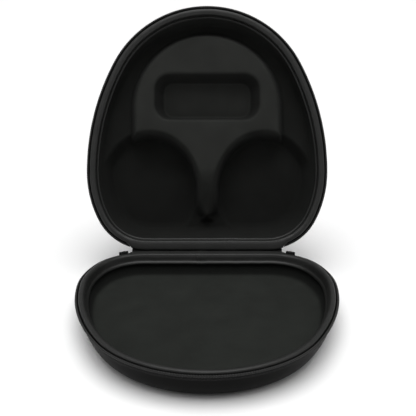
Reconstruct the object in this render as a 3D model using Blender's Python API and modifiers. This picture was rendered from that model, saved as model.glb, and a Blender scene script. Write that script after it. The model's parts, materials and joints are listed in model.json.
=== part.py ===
"""Headphone carrying case: a clamshell of two moulded halves, opened on its cloth hinge.

Origin: centre of the base's flat underside. +X to the right, +Y towards the hinge, +Z up.
Each half is drawn in rim coordinates: x across, s along the rim plane from the hinge line
towards the front edge, and a depth measured from the rim plane into the half.
"""

import math

import bmesh
import bpy
import numpy as np
from mathutils import Vector

MM = 0.001

# Driving dimensions, in millimetres.
WIDTH = 210.0
LENGTH = 211.0
BASE_DEPTH = 26.0
LID_DEPTH = 50.0
LID_CROWN = 4.0
OPENING_DEG = 110.0
RIM_GAP = 0.8

# The outline of the rim, drawn with five tangent pieces on each side: the straight hinge
# side, a back corner arc, a shoulder arc up to the widest point, a flank and the crown.
HINGE_HALF = 53.0
CORNER_RADIUS = 47.0
WIDEST_S = 67.5
CROWN_RADIUS = 92.0
CORNER_STEPS = 7
SHOULDER_STEPS = 4
FLANK_STEPS = 4
CROWN_STEPS = 6
HINGE_STATIONS = (0.0, 5.0, 14.0, 26.0, 40.0)

# Layers of the wall, from the outside in.
COVER_INSET = 2.1
COVER = 0.8
GAP = 0.3
BASE_FOAM = 3.2
LID_FOAM = 2.4
LINING = 0.6
TRAY = 1.2
BOARD = 2.4

BASE_DRAFT_DEG = 14.0
BASE_EDGE_RADIUS = 20.0
LID_DRAFT_DEG = 8.0
LID_EDGE_RADIUS = 25.0
COVER_TOP = 3.2
FOAM_TOP = 3.9
LINING_TOP = 3.4
LINING_FOOT = 3.0

# Zip fastener.
COIL_RADIUS = 1.0
COIL_INSET = 1.3
COIL_DEPTH = 1.5
TAPE_INSET = 1.2
TAPE = 0.6
TAPE_TOP = 2.9
TAPE_BOTTOM = 9.0
ZIP_START = 2
STOP_SIZE = (2.4, 3.4, 2.2)
STOP_DEPTH = 1.6
STOP_SETBACK = 0.7
STOP_EDGE = 0.5

# Hinge cloth: a strip glued down the outside of each half's back wall.
LEAF_INSET = 0.9
LEAF = 0.8
LEAF_TOP = 0.9
LEAF_BOTTOM = 12.0

# The binding's closed section as (inset, depth): a crown over the rim, a flat inner face
# and a sewn bead at its lower edge.
BINDING = (
    (3.4, 2.7), (3.4, 1.3), (4.2, 0.45), (5.7, 0.0), (7.2, 0.35), (8.2, 1.3), (8.5, 6.2),
    (9.5, 6.8), (9.6, 8.1), (8.6, 8.8), (7.6, 8.2), (7.6, 3.1), (7.3, 2.7),
)

# Sliders, parked on the back corner arcs: plates either side of the coil, a post between
# them, a wire bail, and a ring and tab that hang from it. Heights are above the rim plane.
SLIDER_ANGLE_DEG = 24.0
FRONT_PLATE = (CORNER_RADIUS + 0.35, CORNER_RADIUS + 1.3)
FRONT_PLATE_HALF = 4.0
FRONT_PLATE_Z = (-6.6, 0.2)
BACK_PLATE = (CORNER_RADIUS - 3.1, CORNER_RADIUS - 2.75)
BACK_PLATE_HALF = 3.0
BACK_PLATE_Z = (-2.7, 0.9)
POST_HALF = 1.2
POST_Z = (-0.2, 0.6)
WIRE = 0.45
BAIL_BAR = CORNER_RADIUS + 3.8
BAIL_HALF = 2.4
BAIL_BEND = 0.5
BAIL_Z = -3.4
RING_RADIUS = 1.9
RING_WIRE = 0.35
TAB_THICKNESS = 1.0
TAB_HEAD_HALF = 1.9
TAB_GRIP_HALF = 2.9
TAB_LENGTH = 13.0
TAB_HOLE = 0.9

# Tray in the lid: plateau with an accessory pocket, headband channel and two ear wells.
PLATEAU_DEPTH = 6.0
CHANNEL_DEPTH = 24.0
WELL_DEPTH = 38.0
POCKET_DEPTH = 22.0
POCKET_S = 133.5
POCKET_HALF = (47.0, 20.8)
POCKET_CORNER = 14.5
POCKET_FLOOR_S = 131.5
POCKET_FLOOR_HALF = (37.7, 14.6)
POCKET_FLOOR_CORNER = 8.0
ARCH_CENTRE_S = 123.0
ARCH_RADIUS = 62.0
WELL_CENTRE = (50.0, 52.0)
WELL_HALF = (45.0, 52.0)
NECK_TIP_S = 30.0
NECK_TOP_S = 70.0
NECK_TIP_DEPTH = 20.0
TRAY_FOOT = 5.0
# The tray's wall from its foot to the rim as (inset, depth).
TRAY_WALL = ((16.0, 31.0), (11.0, 20.0), (8.15, 10.0), (7.2, 3.4))

HINGE_Y = LENGTH / 2
HINGE_Z = BASE_DEPTH + RIM_GAP / 2
PLASTIC = (0.019, 0.02, 0.019)


def shoulder_arc():
    """Radius and start angle of the arc from the corner arc to the widest point."""
    reach = WIDTH / 2 - HINGE_HALF
    rise = WIDEST_S - CORNER_RADIUS
    # Its centre lies level with the widest point, and it touches the corner arc inside.
    radius = (reach ** 2 + rise ** 2 - CORNER_RADIUS ** 2) / (2 * (reach - CORNER_RADIUS))
    return radius, -math.atan2(rise, HINGE_HALF - (WIDTH / 2 - radius))


def flank_arc():
    """Radius and end angle of the arc from the widest point to the crown arc."""
    rise = CROWN_S - WIDEST_S
    gap = WIDTH / 2 - CROWN_RADIUS
    radius = (rise ** 2 + (WIDTH / 2) ** 2 - CROWN_RADIUS ** 2) / (2 * gap)
    return radius, math.atan2(rise, radius - WIDTH / 2)


CROWN_S = LENGTH - CROWN_RADIUS
SHOULDER_RADIUS, SHOULDER_START = shoulder_arc()
FLANK_RADIUS, FLANK_END = flank_arc()


def half_outline():
    """Right half of the rim: list of (x, s, outward x, outward s) from hinge to front."""
    stations = [(x, 0.0, 0.0, -1.0) for x in HINGE_STATIONS]
    half = WIDTH / 2
    up = math.pi / 2
    arcs = (
        (HINGE_HALF, CORNER_RADIUS, CORNER_RADIUS, -up, SHOULDER_START, CORNER_STEPS),
        (half - SHOULDER_RADIUS, WIDEST_S, SHOULDER_RADIUS, SHOULDER_START, 0.0, SHOULDER_STEPS),
        (half - FLANK_RADIUS, WIDEST_S, FLANK_RADIUS, 0.0, FLANK_END, FLANK_STEPS),
        (0.0, CROWN_S, CROWN_RADIUS, FLANK_END, up, CROWN_STEPS),
    )
    for cx, cs, radius, first, last, steps in arcs:
        for step in range(steps):
            angle = first + (last - first) * step / steps
            out_x, out_s = math.cos(angle), math.sin(angle)
            stations.append((cx + radius * out_x, cs + radius * out_s, out_x, out_s))
    stations.append((0.0, LENGTH, 0.0, 1.0))
    return stations


def full_outline():
    """Whole rim, from the middle of the hinge round the right side and back."""
    right = half_outline()
    left = [(-x, s, -out_x, out_s) for x, s, out_x, out_s in reversed(right[1:-1])]
    return right + left


OUTLINE = full_outline()
CORNER_START = len(HINGE_STATIONS)


def inset_ring(inset, depth):
    """The rim outline moved inwards by inset, at a depth below the rim plane."""
    return [(x - ox * inset, s - os * inset, depth) for x, s, ox, os in OUTLINE]


# ---------------------------------------------------------------- scene and helpers

def clear_scene():
    for old in list(bpy.data.objects):
        bpy.data.objects.remove(old, do_unlink=True)


def make_collection(name):
    collection = bpy.data.collections.new(name)
    bpy.context.scene.collection.children.link(collection)
    return collection


def make_material(name, colour, roughness, metallic=0.0):
    material = bpy.data.materials.new(name)
    material.use_nodes = True
    shader = material.node_tree.nodes["Principled BSDF"]
    shader.inputs["Base Color"].default_value = (*colour, 1.0)
    shader.inputs["Roughness"].default_value = roughness
    shader.inputs["Metallic"].default_value = metallic
    return material


def place(points, side):
    """Rim coordinates in mm to local metres; side is 1 for the lid and -1 for the base."""
    return [Vector((x, -s, side * depth)) * MM for x, s, depth in points]


def add_object(name, mesh, half, material):
    """Makes the node, with its origin on the hinge line of its own half."""
    mesh.materials.append(material)
    mesh.shade_smooth()
    mesh.set_sharp_from_angle(angle=math.radians(35))
    node = bpy.data.objects.new(name, mesh)
    CASE.objects.link(node)
    node.parent = half["parent"]
    node.location = half["offset"]
    return node


def mesh_from_bmesh(name, bm):
    mesh = bpy.data.meshes.new(name)
    bm.to_mesh(mesh)
    bm.free()
    return mesh


def solidify(node, thickness):
    shell = node.modifiers.new("Thickness", "SOLIDIFY")
    shell.thickness = thickness * MM
    shell.offset = -1.0
    shell.use_even_offset = True
    shell.use_quality_normals = True


def loft_surface(name, rings, side, closing):
    """Open surface through equal rings of rim coordinates; closing fills the last ring."""
    bm = bmesh.new()
    rows = [[bm.verts.new(point) for point in place(ring, side)] for ring in rings]
    count = len(rows[0])
    for upper, lower in zip(rows, rows[1:]):
        for i in range(count):
            j = (i + 1) % count
            bm.faces.new((upper[i], upper[j], lower[j], lower[i]))
    if closing == "face":
        bm.faces.new(rows[-1])
    else:
        tip = bm.verts.new(place([closing], side)[0])
        for i in range(count):
            bm.faces.new((rows[-1][i], rows[-1][(i + 1) % count], tip))
    return bm


def face_outwards(bm, side, outwards):
    """Turns an open bowl surface so that it faces out of its half, or into it."""
    bm.normal_update()
    lowest = max(bm.faces, key=lambda face: side * face.calc_center_median().z)
    if (side * lowest.normal.z > 0) != outwards:
        bmesh.ops.reverse_faces(bm, faces=bm.faces[:])


def bowl(name, rings, thickness, half, material, closing="face", outwards=True):
    """A moulded layer: an open lofted surface with Solidify behind it."""
    bm = loft_surface(name, rings, half["side"], closing)
    face_outwards(bm, half["side"], outwards)
    node = add_object(name, mesh_from_bmesh(name, bm), half, material)
    solidify(node, thickness)
    return node


def sweep(name, section, stations, half, material):
    """A closed section of (inset, depth) points carried along the rim outline."""
    closed = len(stations) == len(OUTLINE)
    bm = bmesh.new()
    rows = []
    for index in stations:
        x, s, out_x, out_s = OUTLINE[index]
        ring = [(x - out_x * inset, s - out_s * inset, depth) for inset, depth in section]
        rows.append([bm.verts.new(point) for point in place(ring, half["side"])])
    pairs = list(zip(rows, rows[1:]))
    if closed:
        pairs.append((rows[-1], rows[0]))
    count = len(section)
    for first, second in pairs:
        for i in range(count):
            j = (i + 1) % count
            bm.faces.new((first[i], first[j], second[j], second[i]))
    if not closed:
        bm.faces.new(rows[0])
        bm.faces.new(rows[-1])
    bmesh.ops.recalc_face_normals(bm, faces=bm.faces[:])
    return add_object(name, mesh_from_bmesh(name, bm), half, material)


def wall_profile(depth, draft_deg, radius, layer, top, arc_steps):
    """(inset, depth) points of a wall and its rounded edge, a layer inside the cover."""
    draft = math.radians(draft_deg)
    arc_depth = depth - radius
    start_depth = arc_depth + radius * math.sin(draft)
    start_inset = COVER_INSET + (start_depth - COVER_TOP) * math.tan(draft)
    centre_inset = start_inset + radius * math.cos(draft)
    inner = radius - layer
    top_inset = COVER_INSET + layer / math.cos(draft) + (top - COVER_TOP) * math.tan(draft)
    points = [(top_inset, top)]
    for step in range(arc_steps + 1):
        angle = draft + (math.pi / 2 - draft) * step / arc_steps
        inset = centre_inset - inner * math.cos(angle)
        points.append((inset, arc_depth + inner * math.sin(angle)))
    return points


# ---------------------------------------------------------------- moulded layers

def base_profile(layer, top):
    return wall_profile(BASE_DEPTH, BASE_DRAFT_DEG, BASE_EDGE_RADIUS, layer, top, 4)


def rings_of(profile):
    return [inset_ring(inset, depth) for inset, depth in profile]


def lid_rings(layer, top):
    """The lid's wall and edge, then one ring of its slightly domed back."""
    rings = rings_of(wall_profile(LID_DEPTH, LID_DRAFT_DEG, LID_EDGE_RADIUS, layer, top, 5))
    # Halfway in to the middle, a parabolic dome has risen three quarters of its crown.
    middle = LENGTH / 2
    dome_depth = LID_DEPTH + 0.75 * LID_CROWN - layer
    rings.append([(x / 2, (s + middle) / 2, dome_depth) for x, s, _ in rings[-1]])
    return rings


def make_base_shells(half):
    bowl("base_cover", rings_of(base_profile(0.0, COVER_TOP)), COVER, half, MATERIALS["cover"])
    foam_layer = COVER + GAP
    foam = rings_of(base_profile(foam_layer, FOAM_TOP))
    bowl("base_foam_shell", foam, BASE_FOAM, half, MATERIALS["foam"])


def make_lid_shells(half):
    middle = LENGTH / 2
    cover_tip = (0.0, middle, LID_DEPTH + LID_CROWN)
    rings = lid_rings(0.0, COVER_TOP)
    bowl("lid_cover", rings, COVER, half, MATERIALS["cover"], cover_tip)
    foam_layer = COVER + GAP
    foam_tip = (0.0, middle, LID_DEPTH + LID_CROWN - foam_layer)
    foam = lid_rings(foam_layer, FOAM_TOP)
    bowl("lid_foam_shell", foam, LID_FOAM, half, MATERIALS["foam"], foam_tip)


def make_base_floor(half):
    """The stiff board on the foam's floor, and the lining that covers it and the wall."""
    board_bottom = BASE_DEPTH - (COVER + GAP + BASE_FOAM + GAP)
    board_top = board_bottom - BOARD
    edge_inset = base_profile(0.0, COVER_TOP)[-1][0] + GAP
    section = [inset_ring(edge_inset, depth) for depth in (board_top, board_bottom)]
    bm = bmesh.new()
    rows = [[bm.verts.new(p) for p in place(ring, half["side"])] for ring in section]
    count = len(OUTLINE)
    for i in range(count):
        j = (i + 1) % count
        bm.faces.new((rows[0][i], rows[0][j], rows[1][j], rows[1][i]))
    for row in rows:
        bm.faces.new(row)
    bmesh.ops.recalc_face_normals(bm, faces=bm.faces[:])
    mesh = mesh_from_bmesh("base_floor_board", bm)
    add_object("base_floor_board", mesh, half, MATERIALS["board"])

    floor = board_top - GAP - LINING
    layer = COVER + GAP + BASE_FOAM + GAP + LINING
    wall = [point for point in base_profile(layer, LINING_TOP) if point[1] < floor]
    foot = (wall[-1][0] + LINING_FOOT, floor)
    bowl("base_lining", rings_of(wall + [foot]), LINING, half, MATERIALS["lining"],
         outwards=False)


# ---------------------------------------------------------------- rim pieces

def zip_stations():
    """Indices round the front, from the right back corner to the left one."""
    first = CORNER_START + ZIP_START
    return list(range(first, len(OUTLINE) - first + 1))


def hinge_stations():
    """Indices across the back, from the left corner to the right one."""
    reach = CORNER_START + 1
    return [index % len(OUTLINE) for index in range(-reach, reach + 1)]


def make_zip_coil(name, half):
    curve = bpy.data.curves.new(name, "CURVE")
    curve.dimensions = "3D"
    curve.bevel_depth = COIL_RADIUS * MM
    curve.bevel_resolution = 1
    curve.use_fill_caps = True
    ring = inset_ring(COIL_INSET, COIL_DEPTH)
    points = place([ring[i] for i in zip_stations()], half["side"])
    spline = curve.splines.new("POLY")
    spline.points.add(len(points) - 1)
    for knot, point in zip(spline.points, points):
        knot.co = (*point, 1.0)
    curve.materials.append(MATERIALS["coil"])
    node = bpy.data.objects.new(name, curve)
    CASE.objects.link(node)
    node.parent = half["parent"]
    node.location = half["offset"]


def make_stop(name, half, sign):
    """The moulded end stop that closes the coil beside the hinge."""
    x, s, out_x, out_s = OUTLINE[CORNER_START + ZIP_START]
    along = (-out_s, out_x)
    back = STOP_SIZE[1] / 2 + STOP_SETBACK
    centre_x = x - out_x * COIL_INSET - along[0] * back
    centre_s = s - out_s * COIL_INSET - along[1] * back
    bpy.ops.mesh.primitive_cube_add(size=1.0)
    node = bpy.context.object
    node.name = name
    node.dimensions = tuple(size * MM for size in STOP_SIZE)
    bpy.ops.object.transform_apply(location=False, rotation=False, scale=True)
    for collection in node.users_collection:
        collection.objects.unlink(node)
    CASE.objects.link(node)
    node.parent = half["parent"]
    spot = place([(sign * centre_x, centre_s, STOP_DEPTH)], half["side"])[0]
    node.location = spot + half["offset"]
    node.rotation_euler = (0.0, 0.0, sign * math.atan2(-out_s, out_x))
    bevel = node.modifiers.new("Edges", "BEVEL")
    bevel.width = STOP_EDGE * MM
    bevel.segments = 1
    node.data.materials.append(MATERIALS["coil"])


def lean_with_wall(section, draft_deg):
    """Tilts the part of a rim section below the foam's top to follow the wall's draft."""
    slope = math.tan(math.radians(draft_deg))
    return [(inset + max(0.0, depth - COVER_TOP) * slope, depth) for inset, depth in section]


def make_rim(prefix, half):
    everywhere = list(range(len(OUTLINE)))
    binding = lean_with_wall(BINDING, half["draft_deg"])
    sweep(prefix + "_binding", binding, everywhere, half, MATERIALS["binding"])
    outer, inner = TAPE_INSET, TAPE_INSET + TAPE
    lean = (TAPE_BOTTOM - COVER_TOP) * math.tan(math.radians(LID_DRAFT_DEG))
    tape = ((outer, TAPE_TOP), (inner, TAPE_TOP), (inner + lean, TAPE_BOTTOM),
            (outer + lean, TAPE_BOTTOM))
    sweep(prefix + "_zip_tape", tape, zip_stations(), half, MATERIALS["tape"])
    outer, inner = LEAF_INSET, LEAF_INSET + LEAF
    leaf = ((outer, LEAF_TOP), (inner, LEAF_TOP), (inner + lean, LEAF_BOTTOM),
            (outer + lean, LEAF_BOTTOM))
    sweep(prefix + "_hinge_leaf", leaf, hinge_stations(), half, MATERIALS["tape"])
    make_zip_coil(prefix + "_zip_coil", half)
    for label, sign in (("left", -1), ("right", 1)):
        make_stop(f"{prefix}_zip_stop_{label}", half, sign)


# ---------------------------------------------------------------- tray

def pocket_reach(ux, us, half, corner):
    """How far a ray from the pocket's middle goes before it leaves a rounded rectangle."""
    ux, us = abs(ux), abs(us)
    flat_x, flat_s = half[0] - corner, half[1] - corner
    if us * half[0] <= flat_s * ux:
        return half[0] / ux
    if ux * half[1] <= flat_x * us:
        return half[1] / us
    # Otherwise it leaves through the corner, a circle about (flat_x, flat_s).
    b = ux * flat_x + us * flat_s
    return b + math.sqrt(b * b - flat_x ** 2 - flat_s ** 2 + corner ** 2)


def arch_reach(ux, us):
    """How far the ray goes before it leaves the plateau's arch."""
    rise = POCKET_S - ARCH_CENTRE_S
    b = us * rise
    return -b + math.sqrt(b * b + ARCH_RADIUS ** 2 - rise ** 2)


def well_reach(ux, us):
    """How far the ray goes before it enters the ear well, or None if it misses it."""
    dx = -WELL_CENTRE[0] / WELL_HALF[0]
    ds = (POCKET_S - WELL_CENTRE[1]) / WELL_HALF[1]
    vx, vs = abs(ux) / WELL_HALF[0], us / WELL_HALF[1]
    a = vx * vx + vs * vs
    b = vx * dx + vs * ds
    c = dx * dx + ds * ds - 1.0
    root = b * b - a * c
    if root <= 0.0 or b >= 0.0:
        return None
    return (-b - math.sqrt(root)) / a


def plateau_reach(ux, us):
    """Distance from the pocket's middle to the plateau's edge, along the neck if need be."""
    well = well_reach(ux, us)
    straight_down = us < -0.7
    if straight_down:
        return well if well is not None else (POCKET_S - NECK_TIP_S) / -us
    arch = arch_reach(ux, us)
    return min(arch, well) if well is not None else arch


def smoothstep(low, high, value):
    t = min(1.0, max(0.0, (value - low) / (high - low)))
    return t * t * (3.0 - 2.0 * t)


def ridge_depth(s):
    """Depth of the plateau, which slopes away along the neck between the wells."""
    fall = smoothstep(NECK_TOP_S, NECK_TIP_S, s)
    return PLATEAU_DEPTH + (NECK_TIP_DEPTH - PLATEAU_DEPTH) * fall


def trough_depth(x, s):
    """Depth of the channel and of the ear wells, outside the plateau."""
    ex = (abs(x) - WELL_CENTRE[0]) / WELL_HALF[0]
    es = (s - WELL_CENTRE[1]) / WELL_HALF[1]
    in_well = smoothstep(1.08, 0.9, math.hypot(ex, es))
    return CHANNEL_DEPTH + (WELL_DEPTH - CHANNEL_DEPTH) * in_well


def tray_spoke(index):
    """Points of the tray from its outer edge to the pocket, at one station of the rim."""
    x, s, out_x, out_s = OUTLINE[index]
    spoke = []
    for inset, depth in reversed(TRAY_WALL):
        px, ps = x - out_x * inset, s - out_s * inset
        spoke.append((px, ps, min(depth, trough_depth(px, ps))))
    wall_x, wall_s = spoke[-1][:2]
    ux, us = wall_x, wall_s - POCKET_S
    length = math.hypot(ux, us)
    ux, us = ux / length, us / length
    edge = plateau_reach(ux, us)
    foot = edge + TRAY_FOOT
    for share in (2 / 3, 1 / 3, 0.0):
        reach = foot + (length - foot) * share
        px, ps = ux * reach, POCKET_S + us * reach
        spoke.append((px, ps, trough_depth(px, ps)))
    pocket = pocket_reach(ux, us, POCKET_HALF, POCKET_CORNER)
    for reach in (edge, pocket + (edge - pocket) * 0.4, pocket):
        ps = POCKET_S + us * reach
        spoke.append((ux * reach, ps, ridge_depth(ps)))
    floor = pocket_reach(ux, us, POCKET_FLOOR_HALF, POCKET_FLOOR_CORNER)
    spoke.append((ux * floor, POCKET_FLOOR_S + us * floor, POCKET_DEPTH))
    return spoke


def make_tray(half):
    spokes = [tray_spoke(index) for index in range(len(OUTLINE))]
    rings = [list(ring) for ring in zip(*spokes)]
    bowl("lid_tray", rings, TRAY, half, MATERIALS["tray"], outwards=False)


# ---------------------------------------------------------------- zip sliders

def join_by_union(name, node, others):
    """Unites separate closed meshes with a Boolean, applied so that the cutters can go."""
    for other in others:
        union = node.modifiers.new("Join", "BOOLEAN")
        union.operation = "UNION"
        union.object = other
    graph = bpy.context.evaluated_depsgraph_get()
    mesh = bpy.data.meshes.new_from_object(node.evaluated_get(graph))
    mesh.name = name
    node.modifiers.clear()
    node.data = mesh
    for other in others:
        bpy.data.objects.remove(other, do_unlink=True)


def plate(name, outs, half_along, heights):
    """A block across the rim: out from the arc's centre, along the rim and in height."""
    low = Vector((outs[0], -half_along, BASE_DEPTH + heights[0])) * MM
    high = Vector((outs[1], half_along, BASE_DEPTH + heights[1])) * MM
    bm = bmesh.new()
    for vert in bmesh.ops.create_cube(bm, size=1.0)["verts"]:
        vert.co = (low + high) / 2 + Vector(a * b for a, b in zip(vert.co, high - low))
    node = bpy.data.objects.new(name, mesh_from_bmesh(name, bm))
    CASE.objects.link(node)
    return node


def make_bail(name):
    """The staple on the slider's face that carries the pull ring."""
    curve = bpy.data.curves.new(name, "CURVE")
    curve.dimensions = "3D"
    curve.bevel_depth = WIRE * MM
    curve.bevel_resolution = 1
    curve.use_fill_caps = True
    root, knee = FRONT_PLATE[1] - WIRE, BAIL_BAR - BAIL_BEND
    bar_half = BAIL_HALF - BAIL_BEND
    route = ((root, -BAIL_HALF), (knee, -BAIL_HALF), (BAIL_BAR, -bar_half),
             (BAIL_BAR, bar_half), (knee, BAIL_HALF), (root, BAIL_HALF))
    spline = curve.splines.new("POLY")
    spline.points.add(len(route) - 1)
    for knot, (out, along) in zip(spline.points, route):
        knot.co = (out * MM, along * MM, (BASE_DEPTH + BAIL_Z) * MM, 1.0)
    rough = bpy.data.objects.new(name, curve)
    CASE.objects.link(rough)
    graph = bpy.context.evaluated_depsgraph_get()
    mesh = bpy.data.meshes.new_from_object(rough.evaluated_get(graph))
    bm = bmesh.new()
    bm.from_mesh(mesh)
    bmesh.ops.remove_doubles(bm, verts=bm.verts[:], dist=1e-6)
    bm.to_mesh(mesh)
    bm.free()
    node = bpy.data.objects.new(name, mesh)
    CASE.objects.link(node)
    bpy.data.objects.remove(rough, do_unlink=True)
    return node


def make_slider(label, sign):
    """A slider body and its pull, on the arc of one back corner."""
    arc = bpy.data.objects.new(f"slider_arc_{label}", None)
    arc.location = (sign * HINGE_HALF * MM, (HINGE_Y - CORNER_RADIUS) * MM, 0.0)
    turn = math.pi / 2 - math.radians(SLIDER_ANGLE_DEG)
    arc.rotation_euler = (0.0, 0.0, turn if sign > 0 else math.pi - turn)
    CASE.objects.link(arc)

    body = plate(f"zip_slider_{label}", FRONT_PLATE, FRONT_PLATE_HALF, FRONT_PLATE_Z)
    back = plate("back_plate", BACK_PLATE, BACK_PLATE_HALF, BACK_PLATE_Z)
    post_span = (sum(BACK_PLATE) / 2, sum(FRONT_PLATE) / 2)
    post = plate("post", post_span, POST_HALF, POST_Z)
    join_by_union(f"zip_slider_{label}", body, [back, post, make_bail("bail")])
    body.data.materials.clear()
    body.data.materials.append(MATERIALS["metal"])
    body.parent = arc

    pivot = bpy.data.objects.new(f"pull_pivot_{label}", None)
    pivot.location = (BAIL_BAR * MM, 0.0, (BASE_DEPTH + BAIL_Z) * MM)
    pivot.parent = arc
    CASE.objects.link(pivot)
    make_pull(label, pivot)


def make_pull(label, pivot):
    """A ring hung from the bail, and a flat tab hung from the ring."""
    drop = RING_RADIUS - RING_WIRE - WIRE
    bpy.ops.mesh.primitive_torus_add(
        major_segments=14, minor_segments=6,
        major_radius=RING_RADIUS * MM, minor_radius=RING_WIRE * MM)
    ring = bpy.context.object
    ring.name = f"pull_ring_{label}"
    for collection in ring.users_collection:
        collection.objects.unlink(ring)
    CASE.objects.link(ring)
    ring.rotation_euler = (math.pi / 2, 0.0, 0.0)
    ring.parent = pivot
    ring.location = (0.0, 0.0, -drop * MM)
    ring.data.shade_smooth()
    ring.data.materials.append(MATERIALS["metal"])

    lowest_wire = -drop - RING_RADIUS
    hole_z = lowest_wire - TAB_HOLE + RING_WIRE + GAP
    tab = bpy.data.curves.new(f"pull_tab_{label}", "CURVE")
    tab.dimensions = "2D"
    tab.fill_mode = "BOTH"
    tab.extrude = TAB_THICKNESS / 2 * MM
    add_loop(tab, tab_outline(hole_z))
    add_loop(tab, [(TAB_HOLE * math.cos(a), hole_z + TAB_HOLE * math.sin(a))
                   for a in np.linspace(0.0, 2 * math.pi, 10, endpoint=False)])
    tab.materials.append(MATERIALS["metal"])
    node = bpy.data.objects.new(f"pull_tab_{label}", tab)
    CASE.objects.link(node)
    node.parent = pivot
    node.rotation_euler = (math.pi / 2, 0.0, math.pi / 2)


def tab_outline(hole_z):
    """The tab's outline: a small head round the hole and a wider round-ended grip."""
    head, grip = TAB_HEAD_HALF, TAB_GRIP_HALF
    top = hole_z + head - TAB_HOLE / 4
    neck, shoulder, end = hole_z - head, hole_z - 2 * head, hole_z - TAB_LENGTH
    bottom = [(grip * math.cos(a), end + grip * math.sin(a))
              for a in np.linspace(0.0, -math.pi, 7)]
    left = [(-grip, shoulder), (-head, neck), (-head, hole_z + head / 2), (-head / 2, top)]
    right = [(-x, z) for x, z in reversed(left)]
    return right + bottom + left


def add_loop(curve, points):
    spline = curve.splines.new("POLY")
    spline.points.add(len(points) - 1)
    for knot, (x, z) in zip(spline.points, points):
        knot.co = (x * MM, z * MM, 0.0, 1.0)
    spline.use_cyclic_u = True


# ---------------------------------------------------------------- the case

clear_scene()
CASE = make_collection("headphone_case")
MATERIALS = {
    "cover": make_material("cover_laminate", (0.0095, 0.0095, 0.009), 0.75),
    "foam": make_material("moulded_foam", (0.012, 0.012, 0.012), 0.9),
    "lining": make_material("lining_knit", (0.020, 0.021, 0.019), 0.95),
    "tray": make_material("tray_knit", (0.022, 0.023, 0.021), 0.95),
    "board": make_material("floor_board", PLASTIC, 0.6),
    "binding": make_material("rim_binding", (0.022, 0.023, 0.022), 0.65),
    "tape": make_material("woven_tape", (0.012, 0.012, 0.012), 0.85),
    "coil": make_material("zip_coil", (0.03, 0.03, 0.03), 0.4),
    "metal": make_material("black_metal", (0.03, 0.03, 0.03), 0.35, 0.8),
}

LID_HINGE = bpy.data.objects.new("lid_hinge_axis", None)
LID_HINGE.location = (0.0, HINGE_Y * MM, HINGE_Z * MM)
LID_HINGE.rotation_euler = (-math.radians(OPENING_DEG), 0.0, 0.0)
CASE.objects.link(LID_HINGE)

BASE = {"side": -1, "parent": None, "draft_deg": BASE_DRAFT_DEG,
        "offset": Vector((0.0, HINGE_Y, BASE_DEPTH)) * MM}
LID = {"side": 1, "parent": LID_HINGE, "draft_deg": LID_DRAFT_DEG,
       "offset": Vector((0.0, 0.0, RIM_GAP / 2)) * MM}

make_base_shells(BASE)
make_base_floor(BASE)
make_lid_shells(LID)
make_tray(LID)
make_rim("base", BASE)
make_rim("lid", LID)
for name, direction in (("left", -1), ("right", 1)):
    make_slider(name, direction)
bpy.context.view_layer.update()
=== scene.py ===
"""Looks of the headphone carrying case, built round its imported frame.

Shapes are drawn in rim coordinates, in millimetres: u runs along the rim from the middle of
the hinge, x is across, s runs from the hinge line to the front edge, and depth is measured
from the rim plane into a half. place() turns them into the row frame, in metres.
"""

import json
import math

import bmesh
import bpy
import numpy as np
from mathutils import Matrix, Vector


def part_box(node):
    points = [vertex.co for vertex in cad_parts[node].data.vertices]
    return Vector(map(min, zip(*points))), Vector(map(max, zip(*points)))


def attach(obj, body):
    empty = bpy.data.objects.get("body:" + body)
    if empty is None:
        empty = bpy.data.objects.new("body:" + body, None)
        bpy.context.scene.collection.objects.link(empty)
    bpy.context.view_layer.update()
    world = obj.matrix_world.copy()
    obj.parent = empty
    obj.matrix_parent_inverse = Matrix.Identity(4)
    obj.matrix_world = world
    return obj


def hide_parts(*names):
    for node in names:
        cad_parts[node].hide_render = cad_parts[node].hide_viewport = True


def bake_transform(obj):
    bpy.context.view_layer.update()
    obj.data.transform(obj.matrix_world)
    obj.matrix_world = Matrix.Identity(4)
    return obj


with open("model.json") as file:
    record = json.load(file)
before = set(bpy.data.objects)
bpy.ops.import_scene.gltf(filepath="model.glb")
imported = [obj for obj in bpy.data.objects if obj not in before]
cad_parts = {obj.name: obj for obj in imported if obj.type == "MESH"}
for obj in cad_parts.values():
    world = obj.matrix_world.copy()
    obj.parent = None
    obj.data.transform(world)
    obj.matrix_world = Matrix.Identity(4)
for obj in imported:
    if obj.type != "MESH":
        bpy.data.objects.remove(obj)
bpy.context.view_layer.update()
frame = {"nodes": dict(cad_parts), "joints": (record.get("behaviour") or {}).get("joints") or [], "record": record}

MM = 0.001
JOINTS = {joint["name"]: joint for joint in frame["joints"]}
HINGE = np.array(JOINTS["lid_hinge"]["pos_m"]) / MM
REST_OPENING = math.radians(JOINTS["lid_hinge"]["range_deg"][1])
LENGTH = 2.0 * HINGE[1]
WIDTH = 210.0
RIM_GAP = 0.8
BASE_DEPTH = HINGE[2] - RIM_GAP / 2
LID_DEPTH = 50.0
LID_CROWN = 4.0

# Rim outline: straight hinge side, back corner arc, shoulder arc up to the widest point,
# flank arc and crown arc on each side.
HINGE_HALF = 53.0
CORNER_RADIUS = 47.0
WIDEST_S = 67.5
CROWN_RADIUS = 92.0
CROWN_S = LENGTH - CROWN_RADIUS
REACH = WIDTH / 2 - HINGE_HALF
SHOULDER_RISE = WIDEST_S - CORNER_RADIUS
SHOULDER_RADIUS = ((REACH ** 2 + SHOULDER_RISE ** 2 - CORNER_RADIUS ** 2)
                   / (2 * (REACH - CORNER_RADIUS)))
SHOULDER_START = -math.atan2(SHOULDER_RISE, SHOULDER_RADIUS - REACH)
RISE = CROWN_S - WIDEST_S
FLANK_RADIUS = (RISE ** 2 + (WIDTH / 2) ** 2 - CROWN_RADIUS ** 2) / (WIDTH - 2 * CROWN_RADIUS)
FLANK_END = math.atan2(RISE, FLANK_RADIUS - WIDTH / 2)
RIGHT_ANGLE = math.pi / 2
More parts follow.
